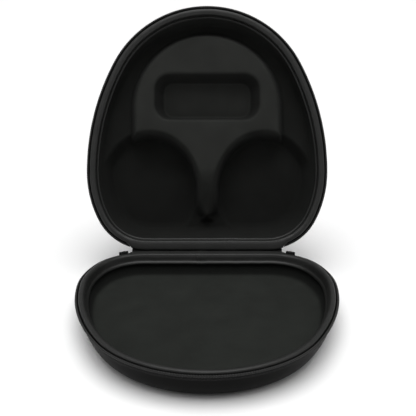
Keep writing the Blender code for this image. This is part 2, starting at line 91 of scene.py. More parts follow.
# Each arc as centre x, centre s, radius, first angle and last angle.
RIM_ARCS = (
    (HINGE_HALF, CORNER_RADIUS, CORNER_RADIUS, -RIGHT_ANGLE, SHOULDER_START),
    (WIDTH / 2 - SHOULDER_RADIUS, WIDEST_S, SHOULDER_RADIUS, SHOULDER_START, 0.0),
    (WIDTH / 2 - FLANK_RADIUS, WIDEST_S, FLANK_RADIUS, 0.0, FLANK_END),
    (0.0, CROWN_S, CROWN_RADIUS, FLANK_END, RIGHT_ANGLE),
)
HALF_U = HINGE_HALF + sum(radius * (last - first) for _, _, radius, first, last in RIM_ARCS)
RIM_U = 2.0 * HALF_U

# Wall and edge of each half's outer cover.
COVER_INSET = 2.1
COVER_TOP = 3.2
COVER = 0.8
BASE_WALL = {"depth": BASE_DEPTH, "draft": math.radians(14.0), "radius": 20.0}
LID_WALL = {"depth": LID_DEPTH, "draft": math.radians(8.0), "radius": 25.0}

LINING = 0.6
LINING_INSET = 4.9
LINING_TOP = 3.4
LINING_FOOT = 3.4

# Zip fastener.
COIL_RADIUS = 1.05
COIL_INSET = 1.25
COIL_DEPTH = 2.5
COIL_PITCH = 1.9
ZIP_START_U = HINGE_HALF + CORNER_RADIUS * math.radians(18.0)
TAPE_INSET = 1.2
TAPE = 0.6
TAPE_TOP = 2.9
TAPE_BOTTOM = 6.4
TAPE_SEAM_DEPTH = 5.2
TAPE_STITCH = {"pitch": 2.6, "length": 1.8, "radius": 0.22}
BINDING_STITCH = {"pitch": 3.0, "length": 2.1, "radius": 0.26}
BINDING_SEAM = (8.62, 5.6)

# Tray in the lid.
PLATEAU_DEPTH = 6.0
CHANNEL_DEPTH = 24.0
WELL_DEPTH = 38.0
POCKET_DEPTH = 22.0
POCKET = {"s": 133.5, "half": (47.0, 20.8), "corner": 14.5}
POCKET_FLOOR = {"s": 131.5, "half": (37.7, 14.6), "corner": 8.0}
ARCH_S = 123.0
ARCH_RADIUS = 62.0
WELL_CENTRE = (50.0, 52.0)
WELL_HALF = (45.0, 52.0)
NECK_TIP_S = 30.0
NECK_TOP_S = 72.0
NECK_HALF = 5.3
NECK_TIP_DEPTH = 22.0
NECK_ROOT_S = 58.0
TRAY = 1.1
TRAY_EDGE = 7.2
TRAY_WALL_WIDTH = 22.0
INNER_INSET = 60.0
# The tray's inner wall, as depth against inset.
TRAY_WALL_D = (7.2, 8.15, 11.0, 16.0, 19.5, 24.0, 60.0)
TRAY_WALL_N = (3.4, 10.0, 20.0, 31.0, 37.0, 40.5, 41.0)

# Painted shade: how light the knit is painted on walls, wells and the pocket's walls where shade falls, beside 1
# on open ground, and how much darker the pocket's floor and the ground towards the neck are painted.
WALL_SHADE_TONE = 0.38
WELL_SHADE_TONE = 0.62
POCKET_WALL_SHADE_TONE = 0.42
POCKET_FLOOR_SHADE = 0.12
# The neck's painted shade stands for shade cast by the headphones, which are not built.
NECK_SHADE = 0.25

# Hinge cloth, as (inset, depth) down the outside of each half.
HINGE_CLOTH = 0.7
HINGE_CLOTH_HALF = 65.5
HINGE_BASE_SIDE = ((2.7, 12.0), (2.2, 9.0), (1.6, 6.4), (1.15, 4.6), (0.8, 3.4))
HINGE_LID_SIDE = ((0.8, 3.4), (1.0, 4.6), (1.35, 6.4), (1.75, 9.0), (2.15, 12.0))


# ---------------------------------------------------------------- geometry helpers

def rim(u):
    """Rim point and outward direction (x, s, out x, out s) at each u, all numpy arrays."""
    u = np.mod(np.asarray(u, float), RIM_U)
    side = np.where(u <= HALF_U, 1.0, -1.0)
    v = np.where(u <= HALF_U, u, RIM_U - u)
    x, s = v.copy(), np.zeros_like(v)
    out_x, out_s = np.zeros_like(v), np.full_like(v, -1.0)
    start = HINGE_HALF
    for centre_x, centre_s, radius, first, last in RIM_ARCS:
        on = v >= start
        angle = first + (v[on] - start) / radius
        out_x[on], out_s[on] = np.cos(angle), np.sin(angle)
        x[on], s[on] = centre_x + radius * out_x[on], centre_s + radius * out_s[on]
        start += radius * (last - first)
    return side * x, s, side * out_x, out_s


def place(half, x, s, depth):
    """Rim coordinates of a half to the row frame, in metres."""
    if half == "base":
        y, z = HINGE[1] - s, BASE_DEPTH - depth
    else:
        n = depth + RIM_GAP / 2
        cos, sin = math.cos(REST_OPENING), math.sin(REST_OPENING)
        y = HINGE[1] - s * cos + n * sin
        z = HINGE[2] + s * sin + n * cos
    return np.stack([x + 0.0 * y, y, z], axis=-1) * MM


def swept_points(half, u, inset, depth):
    """Points at an inset and depth from the rim; u is a column, inset and depth are rows."""
    x, s, out_x, out_s = rim(u)
    inset, depth = np.broadcast_arrays(inset, depth)
    px = x[:, None] - out_x[:, None] * inset
    ps = s[:, None] - out_s[:, None] * inset
    return place(half, px, ps, depth + np.zeros_like(px))


def grid_object(name, points, material, wrap_rows=False, wrap_cols=False, uv=None,
                cap_ends=False, tip=None):
    """A smooth mesh through a grid of points, with a UV map in metres."""
    rows, cols = points.shape[:2]
    index = np.arange(rows * cols).reshape(rows, cols)
    down = np.roll(index, -1, 0) if wrap_rows else index[1:]
    here = index if wrap_rows else index[:-1]
    if wrap_cols:
        quads = np.stack([here, np.roll(here, -1, 1), np.roll(down, -1, 1), down], -1)
    else:
        quads = np.stack([here[:, :-1], here[:, 1:], down[:, 1:], down[:, :-1]], -1)
    faces = quads.reshape(-1, 4).tolist()
    verts = points.reshape(-1, 3)
    if tip is not None:
        verts = np.vstack([verts, tip])
        last = index[:, -1]
        centre = rows * cols
        faces += [[int(last[i]), centre, int(last[(i + 1) % rows])] for i in range(rows)]
    if cap_ends:
        faces += [index[0].tolist(), index[-1].tolist()]
    mesh = bpy.data.meshes.new(name)
    mesh.from_pydata(verts.tolist(), [], faces)
    if uv is not None:
        layer = mesh.uv_layers.new(name="UVMap")
        flat = np.vstack([uv.reshape(-1, 2), np.zeros((1, 2))])
        corners = np.zeros(len(mesh.loops), int)
        mesh.loops.foreach_get("vertex_index", corners)
        layer.data.foreach_set("uv", flat[np.minimum(corners, rows * cols)].ravel())
    mesh.materials.append(material)
    mesh.shade_smooth()
    piece = bpy.data.objects.new(name, mesh)
    bpy.context.scene.collection.objects.link(piece)
    return piece


def outward_normals(piece):
    """Makes a closed piece's faces point out."""
    bm = bmesh.new()
    bm.from_mesh(piece.data)
    bmesh.ops.recalc_face_normals(bm, faces=bm.faces[:])
    bm.to_mesh(piece.data)
    bm.free()


def add_thickness(piece, thickness, offset=-1.0):
    shell = piece.modifiers.new("Thickness", "SOLIDIFY")
    shell.thickness = thickness * MM
    shell.offset = offset
    shell.use_even_offset = False


def uv_grid(u, v):
    """UV coordinates in metres for a grid whose rows follow u and whose columns follow v."""
    v = np.broadcast_to(v, (len(u), np.shape(v)[-1]))
    return np.stack([np.broadcast_to(np.asarray(u)[:, None], v.shape), v], -1) * MM


def along(points):
    """Running length along a list of (inset, depth) points."""
    points = np.asarray(points, float)
    return np.concatenate([[0.0], np.cumsum(np.hypot(*np.diff(points, axis=0).T))])


def cut_corners(points, closed=True):
    """One round of corner cutting, which rounds a profile drawn with few points."""
    points = np.asarray(points, float)
    after = np.roll(points, -1, 0)
    near, far = 0.75 * points + 0.25 * after, 0.25 * points + 0.75 * after
    made = np.stack([near, far], 1).reshape(-1, 2)
    return made if closed else np.vstack([points[:1], made[:-2], points[-1:]])


def smoothstep(low, high, value):
    t = np.clip((value - low) / (high - low), 0.0, 1.0)
    return t * t * (3.0 - 2.0 * t)


def ripple(u, seed, waves, size):
    """A smooth seeded wobble along the rim, which joins up with itself."""
    rng = np.random.default_rng(seed)
    total = np.zeros_like(u)
    for count in waves:
        total += rng.normal() * np.sin(2 * math.pi * count * u / RIM_U + rng.uniform(0, 6.28))
    return size * total / math.sqrt(len(waves))


# ---------------------------------------------------------------- materials

def new_material(name):
    material = bpy.data.materials.new(name)
    material.use_nodes = True
    tree = material.node_tree
    return material, tree.nodes, tree.links, tree.nodes["Principled BSDF"]


def noise(nodes, links, coord, scale, detail=3.0, roughness=0.5):
    node = nodes.new("ShaderNodeTexNoise")
    node.inputs["Scale"].default_value = scale
    node.inputs["Detail"].default_value = detail
    node.inputs["Roughness"].default_value = roughness
    links.new(coord, node.inputs["Vector"])
    return node.outputs["Fac"]


def maths(nodes, links, operation, first, second):
    node = nodes.new("ShaderNodeMath")
    node.operation = operation
    for socket, value in zip(node.inputs, (first, second)):
        if isinstance(value, (int, float)):
            socket.default_value = value
        else:
            links.new(value, socket)
    return node.outputs[0]


def colour_between(nodes, links, fac, dark, light):
    ramp = nodes.new("ShaderNodeValToRGB")
    ramp.color_ramp.elements[0].position = 0.3
    ramp.color_ramp.elements[1].position = 0.7
    ramp.color_ramp.elements[0].color = (*dark, 1.0)
    ramp.color_ramp.elements[1].color = (*light, 1.0)
    links.new(fac, ramp.inputs["Fac"])
    return ramp.outputs["Color"]


def bump(nodes, links, shader, height, distance, strength=1.0):
    node = nodes.new("ShaderNodeBump")
    node.inputs["Distance"].default_value = distance
    node.inputs["Strength"].default_value = strength
    links.new(height, node.inputs["Height"])
    links.new(node.outputs["Normal"], shader.inputs["Normal"])


def finish_shader(shader, roughness, sheen=0.0, specular=0.5, metallic=0.0):
    shader.inputs["Roughness"].default_value = roughness
    shader.inputs["Sheen Weight"].default_value = sheen
    shader.inputs["Sheen Roughness"].default_value = 0.4
    shader.inputs["Specular IOR Level"].default_value = specular
    shader.inputs["Metallic"].default_value = metallic


def shade(rgb, factor):
    return tuple(channel * factor for channel in rgb)


def brushed_knit(name, colour):
    """Short-napped knit: fine loops, a nap that catches light, faint mottling, and painted shade scaled in from
    the tone attribute.
    """
    material, nodes, links, shader = new_material(name)
    coord = nodes.new("ShaderNodeTexCoord").outputs["Object"]
    fine = noise(nodes, links, coord, 2600.0, 2.0)
    nap = noise(nodes, links, coord, 900.0, 3.0, 0.6)
    broad = noise(nodes, links, coord, 45.0, 3.0)
    mixed = maths(nodes, links, "ADD", maths(nodes, links, "MULTIPLY", fine, 0.45),
                  maths(nodes, links, "MULTIPLY", broad, 0.55))
    knit = colour_between(nodes, links, mixed, shade(colour, 0.78), shade(colour, 1.22))
    # Painted shade: the tone attribute scales the knit's colour down on walls, wells and towards the neck, where
    # shade falls.
    painted_shade_attr = nodes.new("ShaderNodeAttribute")
    painted_shade_attr.attribute_name = "tone"
    scaled = nodes.new("ShaderNodeVectorMath")
    scaled.operation = "SCALE"
    links.new(knit, scaled.inputs[0])
    links.new(painted_shade_attr.outputs["Fac"], scaled.inputs["Scale"])
    links.new(scaled.outputs["Vector"], shader.inputs["Base Color"])
    height = maths(nodes, links, "ADD", fine, maths(nodes, links, "MULTIPLY", nap, 1.4))
    bump(nodes, links, shader, height, 0.00012, 0.6)
    finish_shader(shader, 0.95, sheen=0.012, specular=0.12)
    return material


def woven(name, colour, rib, pick, roughness, sheen, depth=0.00008, specular=0.5):
    """A woven or knitted tape: ribs across it and picks along it, read from its UV map."""
    material, nodes, links, shader = new_material(name)
    uv = nodes.new("ShaderNodeTexCoord").outputs["UV"]
    parts = nodes.new("ShaderNodeSeparateXYZ")
    links.new(uv, parts.inputs[0])
    run, across = parts.outputs["X"], parts.outputs["Y"]
    ribs = maths(nodes, links, "SINE", maths(nodes, links, "MULTIPLY", run,
                                             2 * math.pi / rib), 0.0)
    picks = maths(nodes, links, "SINE", maths(nodes, links, "MULTIPLY", across,
                                              2 * math.pi / pick), 0.0)
    weave = maths(nodes, links, "MULTIPLY", ribs, picks)
    coord = nodes.new("ShaderNodeTexCoord").outputs["Object"]
    fuzz = noise(nodes, links, coord, 2200.0, 2.0)
    broad = noise(nodes, links, coord, 70.0, 3.0)
    mixed = maths(nodes, links, "ADD", maths(nodes, links, "MULTIPLY", fuzz, 0.35),
                  maths(nodes, links, "MULTIPLY", broad, 0.65))
    tone = colour_between(nodes, links, mixed, shade(colour, 0.75), shade(colour, 1.25))
    links.new(tone, shader.inputs["Base Color"])
    height = maths(nodes, links, "ADD", maths(nodes, links, "MULTIPLY", weave, 0.5), fuzz)
    bump(nodes, links, shader, height, depth, 0.8)
    finish_shader(shader, roughness, sheen=sheen, specular=specular)
    return material


def pressed_cover(name, colour):
    """The coated cloth pressed over the foam: a fine grain with a soft, even gloss."""
    material, nodes, links, shader = new_material(name)
    coord = nodes.new("ShaderNodeTexCoord").outputs["Object"]
    grain = nodes.new("ShaderNodeTexVoronoi")
    grain.inputs["Scale"].default_value = 1400.0
    links.new(coord, grain.inputs["Vector"])
    fine = noise(nodes, links, coord, 3000.0, 2.0)
    broad = noise(nodes, links, coord, 30.0, 4.0)
    tone = colour_between(nodes, links, broad, shade(colour, 0.85), shade(colour, 1.15))
    links.new(tone, shader.inputs["Base Color"])
    height = maths(nodes, links, "ADD", grain.outputs["Distance"],
                   maths(nodes, links, "MULTIPLY", fine, 0.5))
    bump(nodes, links, shader, height, 0.00012, 0.5)
    rough = maths(nodes, links, "ADD", maths(nodes, links, "MULTIPLY", broad, 0.16), 0.46)
    finish_shader(shader, 0.55, sheen=0.002, specular=0.06)
    links.new(rough, shader.inputs["Roughness"])
    return material


def moulded(name, colour, roughness, metallic=0.0, specular=0.5):
    """Moulded nylon, foam or lacquered metal, with a fine uneven surface."""
    material, nodes, links, shader = new_material(name)
    coord = nodes.new("ShaderNodeTexCoord").outputs["Object"]
    fine = noise(nodes, links, coord, 1800.0, 2.0)
    broad = noise(nodes, links, coord, 160.0, 3.0)
    tone = colour_between(nodes, links, broad, shade(colour, 0.8), shade(colour, 1.2))
    links.new(tone, shader.inputs["Base Color"])
    bump(nodes, links, shader, fine, 0.00004, 0.5)
    rough = maths(nodes, links, "ADD", maths(nodes, links, "MULTIPLY", broad, 0.15),
                  roughness - 0.07)
    finish_shader(shader, roughness, specular=specular, metallic=metallic)
    links.new(rough, shader.inputs["Roughness"])
    return material


# ---------------------------------------------------------------- moulded shells

def wall_curve(wall, layer, top, arc_points):
    """(inset, depth) along a wall and its rounded edge, a layer inside the outer cover."""
    draft, radius = wall["draft"], wall["radius"]
    arc_depth = wall["depth"] - radius
    start_depth = arc_depth + radius * math.sin(draft)
    start_inset = COVER_INSET + (start_depth - COVER_TOP) * math.tan(draft)
    centre = start_inset + radius * math.cos(draft)
    top_inset = COVER_INSET + layer / math.cos(draft) + (top - COVER_TOP) * math.tan(draft)
    inner = radius - layer
    angles = np.linspace(draft, math.pi / 2, arc_points)
    arc = np.stack([centre - inner * np.cos(angles), arc_depth + inner * np.sin(angles)], 1)
    straight = np.linspace((top_inset, top), arc[0], 8)[:-1]
    return np.vstack([straight, arc])


def closing_rings(x, s, depth, centre_s, crown, count):
    """Rings from the last ring in to the middle, rising by crown in a shallow dome."""
    share = np.linspace(0.0, 1.0, count + 1)[1:-1]
    px = x[:, None] * (1 - share)
    ps = s[:, None] + (centre_s - s[:, None]) * share
    return px, ps, depth + crown * (1.0 - (1.0 - share) ** 2)


def shell_piece(name, half, curve, crown, material, around=288):
    u = np.linspace(0.0, RIM_U, around, endpoint=False)
    x, s, out_x, out_s = rim(u)
    px = x[:, None] - out_x[:, None] * curve[:, 0]
    ps = s[:, None] - out_s[:, None] * curve[:, 0]
    depth = np.broadcast_to(curve[:, 1], px.shape)
    cx, cs, cd = closing_rings(px[:, -1], ps[:, -1], curve[-1, 1], LENGTH / 2, crown, 14)
    px, ps = np.hstack([px, cx]), np.hstack([ps, cs])
    depth = np.hstack([depth, np.broadcast_to(cd, cx.shape)])
    points = place(half, px, ps, depth)
    tip = place(half, np.zeros(1), np.full(1, LENGTH / 2), np.full(1, curve[-1, 1] + crown))
    span = np.concatenate([[0.0], np.cumsum(np.full(px.shape[1] - 1, 3.0))])
    return grid_object(name, points, material, wrap_rows=True, uv=uv_grid(u, span), tip=tip)


def face_away(piece, point):
    """Turns an open shell's faces so that they point away from a point inside it."""
    bm = bmesh.new()
    bm.from_mesh(piece.data)
    bmesh.ops.recalc_face_normals(bm, faces=bm.faces[:])
    bm.normal_update()
    inside = Vector(point)
    balance = sum(face.calc_area() * face.normal.dot(face.calc_center_median() - inside)
                  for face in bm.faces)
    if balance < 0:
        bmesh.ops.reverse_faces(bm, faces=bm.faces[:])
    bm.to_mesh(piece.data)
    bm.free()


def paint_shade_tone(piece, tone):
    """Stores how light the knit is painted at each vertex: painted shade, darker on the walls where shade falls.
    """
    layer = piece.data.attributes.new("tone", "FLOAT", "POINT")
    values = np.ones(len(piece.data.vertices))
    values[:tone.size] = tone.ravel()
    layer.data.foreach_set("value", values)


def inside_point(half):
    return place(half, np.zeros(1), np.full(1, LENGTH / 2), np.full(1, 2.0))[0]


def make_covers():
    for half, wall, crown in (("base", BASE_WALL, 0.0), ("lid", LID_WALL, LID_CROWN)):
        curve = wall_curve(wall, 0.0, COVER_TOP, 20)
        piece = shell_piece(f"{half}_cover_skin", half, curve, crown, COVER_MATERIAL)
        face_away(piece, inside_point(half))
        add_thickness(piece, COVER)
        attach(piece, half)
        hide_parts(f"{half}_cover")


def make_lining():
    """Lining of the base: wall, soft foot and the flat floor over its board."""
    floor = BASE_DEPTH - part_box("base_lining")[0].z / MM - LINING
    wall = wall_curve(BASE_WALL, LINING_INSET, LINING_TOP, 40)
    wall = wall[wall[:, 1] < floor - LINING_FOOT]
    foot_start = wall[-1]
    slope = wall[-1] - wall[-2]
    slope = slope / np.hypot(*slope)
    corner_run = (floor - foot_start[1]) / slope[1]
    corner = foot_start + slope * corner_run
    foot_end = np.array([corner[0] + 3.6, floor])
    t = np.linspace(0.0, 1.0, 9)[1:, None]
    foot = (1 - t) ** 2 * foot_start + 2 * t * (1 - t) * corner + t ** 2 * foot_end
    curve = np.vstack([wall, foot])
    piece = shell_piece("base_lining_skin", "base", curve, 0.0, LINING_MATERIAL)
    # Painted shade: the lining's wall is painted darker than its floor, fading out over the foot.
    depths = np.array([BASE_DEPTH - vertex.co.z / MM for vertex in piece.data.vertices])
    on_floor = smoothstep(floor - 1.8, floor - 0.1, depths)
    paint_shade_tone(piece, WALL_SHADE_TONE + (1.0 - WALL_SHADE_TONE) * on_floor)
    face_away(piece, inside_point("base"))
    piece.data.flip_normals()
    add_thickness(piece, LINING)
    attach(piece, "base")
    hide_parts("base_lining")


# ---------------------------------------------------------------- tray

def ellipse_distance(x, s):
    """Signed distance, near the edge, from the ear wells' outline; negative inside."""
    dx = (np.abs(x) - WELL_CENTRE[0]) / WELL_HALF[0]
    ds = (s - WELL_CENTRE[1]) / WELL_HALF[1]
    size = np.hypot(dx, ds)
    slope = np.hypot(dx / WELL_HALF[0], ds / WELL_HALF[1])
    return (size - 1.0) * size / np.maximum(slope, 1e-6)


def plateau_distance(x, s):
    """Signed distance from the plateau's edge, the neck included; negative inside."""
    arch = np.hypot(x, s - ARCH_S) - ARCH_RADIUS
    lower = np.where(s < ARCH_S, np.abs(x) - ARCH_RADIUS, arch)
    tip = np.clip((NECK_ROOT_S - s) / (NECK_ROOT_S - NECK_TIP_S), 0.0, 1.0)
    half = NECK_HALF * np.sqrt(1.0 - 0.999 * tip ** 2)
    neck = np.where(s < NECK_ROOT_S, np.abs(x) - half, -50.0)
    end = NECK_TIP_S - s
    return np.maximum.reduce([lower, -ellipse_distance(x, s), neck, end])


def rounded_box_distance(x, s, shape):
    """Signed distance from a rounded rectangle across the middle; negative inside."""
    half, corner = shape["half"], shape["corner"]
    dx = np.abs(x) - (half[0] - corner)
    ds = np.abs(s - shape["s"]) - (half[1] - corner)
    outside = np.hypot(np.maximum(dx, 0.0), np.maximum(ds, 0.0))
    return outside + np.minimum(np.maximum(dx, ds), 0.0) - corner


def soft_min(a, b, k):
    h = np.clip(0.5 + 0.5 * (b - a) / k, 0.0, 1.0)
    return b * (1 - h) + a * h - k * h * (1 - h)


def rounded_ramp(t, low, high, bend):
    """Runs from 0 to 1 between low and high in a straight slope with rounded ends."""
    t = (t - low) / (high - low)
    bend = bend / (high - low)
    start = np.clip(t + bend, 0.0, 2 * bend) ** 2 / (4 * bend)
    over = np.clip(t - bend, 0.0, None)
    value = start + over
    back = np.clip(t - 1.0 + bend, 0.0, 2 * bend) ** 2 / (4 * bend)
    past = np.clip(t - 1.0 - bend, 0.0, None)
    return value - back - past


def tray_depth(x, s, inset):
    """Depth of the tray's visible surface below the rim plane."""
    ridge = PLATEAU_DEPTH + (NECK_TIP_DEPTH - PLATEAU_DEPTH) * (
        1.0 - smoothstep(NECK_TIP_S - 2.0, NECK_TOP_S, s))
    in_well = 1.0 - rounded_ramp(ellipse_distance(x, s), -5.5, 1.5, 1.6)
    below_tip = 0.8 * smoothstep(NECK_TIP_S + 26.0, NECK_TIP_S - 4.0, s)
    in_well = np.maximum(in_well, below_tip * smoothstep(44.0, 14.0, np.abs(x)))
    trough = CHANNEL_DEPTH + (WELL_DEPTH - CHANNEL_DEPTH) * in_well
    edge = plateau_distance(x, s)
    fall = rounded_ramp(edge, 0.3, 5.6, 1.3)
    droop = 0.9 * np.exp(np.minimum(edge, 0.0) / 4.5)
    depth = ridge + droop * (1 - fall) + (trough - ridge) * fall
    into = rounded_box_distance(x, s, POCKET)
    floor = rounded_box_distance(x, s, POCKET_FLOOR)
    down = np.where(into >= 0, -0.3 * into, into / np.minimum(into - floor, -1e-3))
    sink = rounded_ramp(down, 0.06, 0.94, 0.16)
    lip = 0.5 * np.exp(-np.maximum(into, 0.0) / 3.0) * (edge < 0)
    depth = depth + lip * (1 - sink) + (POCKET_DEPTH - PLATEAU_DEPTH) * sink
    wall = np.interp(inset, TRAY_WALL_D, TRAY_WALL_N)
    return soft_min(depth, wall, 3.0) + 0.75 * smoothstep(9.0, 7.6, inset)


def tray_shade_tone(x, s):
    """Painted shade: the plateau and the pocket's floor are light; walls and wells are painted darker where shade
    falls, the pocket's floor a little, and the ground towards the neck too.
    """
    edge = smoothstep(0.5, 5.0, plateau_distance(x, s))
    into = rounded_box_distance(x, s, POCKET)
    floor = rounded_box_distance(x, s, POCKET_FLOOR)
    wall = smoothstep(-0.3, -1.8, into) * smoothstep(-0.2, 1.4, floor)
    neck = smoothstep(75.0, 35.0, s)
    tone = 1.0 - (1.0 - WELL_SHADE_TONE) * edge - (1.0 - POCKET_WALL_SHADE_TONE) * wall
    tone = tone - POCKET_FLOOR_SHADE * smoothstep(0.5, -1.0, floor)
    return tone * (1.0 - NECK_SHADE * neck)


def make_tray():
    around, spokes_in, wall_steps = 448, 104, 30
    u = np.linspace(0.0, RIM_U, around, endpoint=False)
    x, s, out_x, out_s = rim(u)
    insets = TRAY_EDGE + (TRAY_WALL_WIDTH - TRAY_EDGE) * np.linspace(0.0, 1.0, wall_steps) ** 1.5
    wx = x[:, None] - out_x[:, None] * insets
    ws = s[:, None] - out_s[:, None] * insets
    share = np.linspace(0.0, 1.0, spokes_in + 1)[1:-1]
    ix = wx[:, -1:] * (1 - share)
    is_ = ws[:, -1:] + (POCKET["s"] - ws[:, -1:]) * share
    px, ps = np.hstack([wx, ix]), np.hstack([ws, is_])
    inner = np.full(ix.shape, INNER_INSET)
    inset = np.hstack([np.broadcast_to(insets, wx.shape), inner])
    depth = tray_depth(px, ps, inset)
    points = place("lid", px, ps, depth)
    tip = place("lid", np.zeros(1), np.full(1, POCKET["s"]), np.full(1, POCKET_DEPTH))
    piece = grid_object("lid_tray_skin", points, TRAY_MATERIAL, wrap_rows=True, tip=tip)
    # Painted shade on the tray's wells, pocket and neck.
    paint_shade_tone(piece, tray_shade_tone(px, ps))
    face_away(piece, place("lid", np.zeros(1), np.full(1, LENGTH / 2), np.full(1, -60.0))[0])
    piece.data.flip_normals()
    add_thickness(piece, TRAY)
    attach(piece, "lid")
    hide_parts("lid_tray")


# ---------------------------------------------------------------- rim trim

# The binding's section as (inset, depth): crown, inner face and sewn bead.
BINDING = (
    (3.0, 2.9), (2.85, 1.5), (3.5, 0.35), (4.8, 0.0), (5.7, 0.0), (6.8, 0.15),
    (8.0, 1.0), (8.5, 2.6), (8.5, 6.0), (9.4, 6.5), (9.75, 7.6), (9.3, 8.7), (8.3, 8.9),
    (7.7, 8.2), (7.6, 3.1), (7.3, 2.7),
)
# Along the hinge, where there is no zip, the binding's crown reaches out to the hinge line
# and squares off; the zip's ends are tucked under it.
HINGE_REACH = 2.9


def leaned(section, draft):
    """Tilts a rim section below the foam's top to follow the wall's draft."""
    section = np.array(section, float)
    section[:, 0] += np.maximum(0.0, section[:, 1] - COVER_TOP) * math.tan(draft)
    return section


def make_binding(half, wall, seed, join_u):
    """The bound edge: one tape folded over the rim, slightly puckered, ends lapped."""
    section = cut_corners(cut_corners(leaned(BINDING, wall["draft"])))
    u = np.linspace(0.0, RIM_U, 860, endpoint=False)
    outer = (section[:, 1] < 2.6) | (section[:, 0] > 8.3)
    middle = section.mean(0)
    away = section - middle
    away = away / np.hypot(away[:, 0], away[:, 1])[:, None]
    swell = ripple(u, seed, range(30, 75, 3), 0.05) + ripple(u, seed + 1, range(6, 20, 2), 0.05)
    near = np.exp(-((u - join_u + RIM_U / 2) % RIM_U - RIM_U / 2) ** 2 / (2 * 4.5 ** 2))
    crumple = near * np.sin((u - join_u) * 1.9) * 0.22 + near * 0.25
    size = np.where(outer, 1.0, 0.0)[None, :] * (swell + crumple)[:, None]
    inset = section[:, 0] + away[:, 0] * size
    depth = section[:, 1] + away[:, 1] * size
    along_hinge = smoothstep(73.0, 64.0, np.minimum(u, RIM_U - u))[:, None]
    inset = inset - HINGE_REACH * along_hinge * np.clip((8.5 - section[:, 0]) / 4.6, 0.0, 1.0)
    depth = np.where(section[:, 1] < 1.4, depth * (1.0 - 0.55 * along_hinge), depth)
    points = swept_points(half, u, inset, depth)
    v = along(np.vstack([section, section[:1]]))[:-1]
    piece = grid_object(f"{half}_binding_tape", points, BINDING_MATERIAL, wrap_rows=True,
                        wrap_cols=True, uv=uv_grid(u, v))
    outward_normals(piece)
    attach(piece, half)
    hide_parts(f"{half}_binding")


def make_coil(half):
    """The nylon coil, a fine screw thread round the rim, from hinge corner to corner."""
    steps = int((RIM_U - 2 * ZIP_START_U) / COIL_PITCH) * 8
    u = np.linspace(ZIP_START_U, RIM_U - ZIP_START_U, steps)
    turn = np.linspace(0.0, 2 * math.pi, 12, endpoint=False)
    phase = 2 * math.pi * u[:, None] / COIL_PITCH + 0.25 * turn[None, :]
    radius = COIL_RADIUS * (0.45 + 0.55 * np.abs(np.cos(phase / 2)) ** 0.6)
    inset = COIL_INSET - radius * np.cos(turn)
    depth = COIL_DEPTH + radius * np.sin(turn)
    points = swept_points(half, u, inset, depth)
    piece = grid_object(f"{half}_zip_teeth", points, COIL_MATERIAL, wrap_cols=True,
                        cap_ends=True, uv=uv_grid(u, COIL_RADIUS * turn))
    outward_normals(piece)
    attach(piece, half)
    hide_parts(f"{half}_zip_coil")


def make_tape(half, wall):
    """The woven tape that carries the coil, sewn to the outside of the wall."""
    lean = (TAPE_BOTTOM - COVER_TOP) * math.tan(wall["draft"])
    outer, inner = TAPE_INSET, TAPE_INSET + TAPE
    section = np.array([
        (outer + 0.1, TAPE_TOP), (inner, TAPE_TOP), (inner, 3.4), (inner + lean, TAPE_BOTTOM),
        (outer + lean + 0.1, TAPE_BOTTOM), (outer + lean - 0.1, TAPE_BOTTOM - 0.6),
        (outer + lean * 0.55, 4.4), (outer, 3.3),
    ])
    u = np.linspace(ZIP_START_U, RIM_U - ZIP_START_U, 620)
    points = swept_points(half, u, section[:, 0] + 0.0 * u[:, None], section[:, 1])
    v = along(np.vstack([section, section[:1]]))[:-1]
    piece = grid_object(f"{half}_zip_tape_cloth", points, TAPE_MATERIAL, wrap_cols=True,
                        cap_ends=True, uv=uv_grid(u, v))
    outward_normals(piece)
    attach(piece, half)
    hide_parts(f"{half}_zip_tape")


def make_stitches(name, half, u, inset, depth, stitch, slot):
    """A row of thread stitches, each a short capsule pressed into the cloth."""
    length, radius = stitch["length"], stitch["radius"]
    turn = np.linspace(0.0, 2 * math.pi, 6, endpoint=False)
    steps = np.linspace(-0.5, 0.5, 5)
    bulge = np.sqrt(np.clip(1.0 - (2 * steps) ** 2, 0.02, 1.0))
    verts, faces = [], []
    for middle in u:
        ring_u = middle + steps * length
        arc = bulge[:, None] * radius
        points = swept_points(half, ring_u, inset + arc * np.cos(turn),
                              depth + arc * 0.8 * np.sin(turn) - 0.35 * radius * bulge[:, None])
        first = len(verts)
        verts += points.reshape(-1, 3).tolist()
        for row in range(4):
            for col in range(6):
                a = first + row * 6 + col
                b = first + row * 6 + (col + 1) % 6
                faces.append((a, b, b + 6, a + 6))
        faces.append(tuple(first + i for i in range(6)))
        faces.append(tuple(first + 24 + i for i in range(6)))
    mesh = bpy.data.meshes.new(name)
    mesh.from_pydata(verts, [], faces)
    mesh.materials.append(THREAD_MATERIAL)
    mesh.shade_smooth()
    piece = bpy.data.objects.new(name, mesh)
    bpy.context.scene.collection.objects.link(piece)
    outward_normals(piece)
    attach(piece, half)


def make_all_stitches():
    """Stitches under each binding's inner face and along each zip tape."""
    pitch = BINDING_STITCH["pitch"]
    u = np.arange(0.0, RIM_U - pitch / 2, RIM_U / round(RIM_U / pitch))
    for half in ("base", "lid"):
        make_stitches(f"{half}_binding_stitches", half, u, *BINDING_SEAM, BINDING_STITCH,
                      "binding")
    zip_u = np.arange(ZIP_START_U + 2.0, RIM_U - ZIP_START_U - 2.0, TAPE_STITCH["pitch"])
    for half, wall in (("base", BASE_WALL), ("lid", LID_WALL)):
        edge = TAPE_INSET + (5.6 - COVER_TOP) * math.tan(wall["draft"])
        make_stitches(f"{half}_tape_stitches", half, zip_u, edge - 0.12, TAPE_SEAM_DEPTH,
                      TAPE_STITCH, "tape")


# ---------------------------------------------------------------- hinge cloth

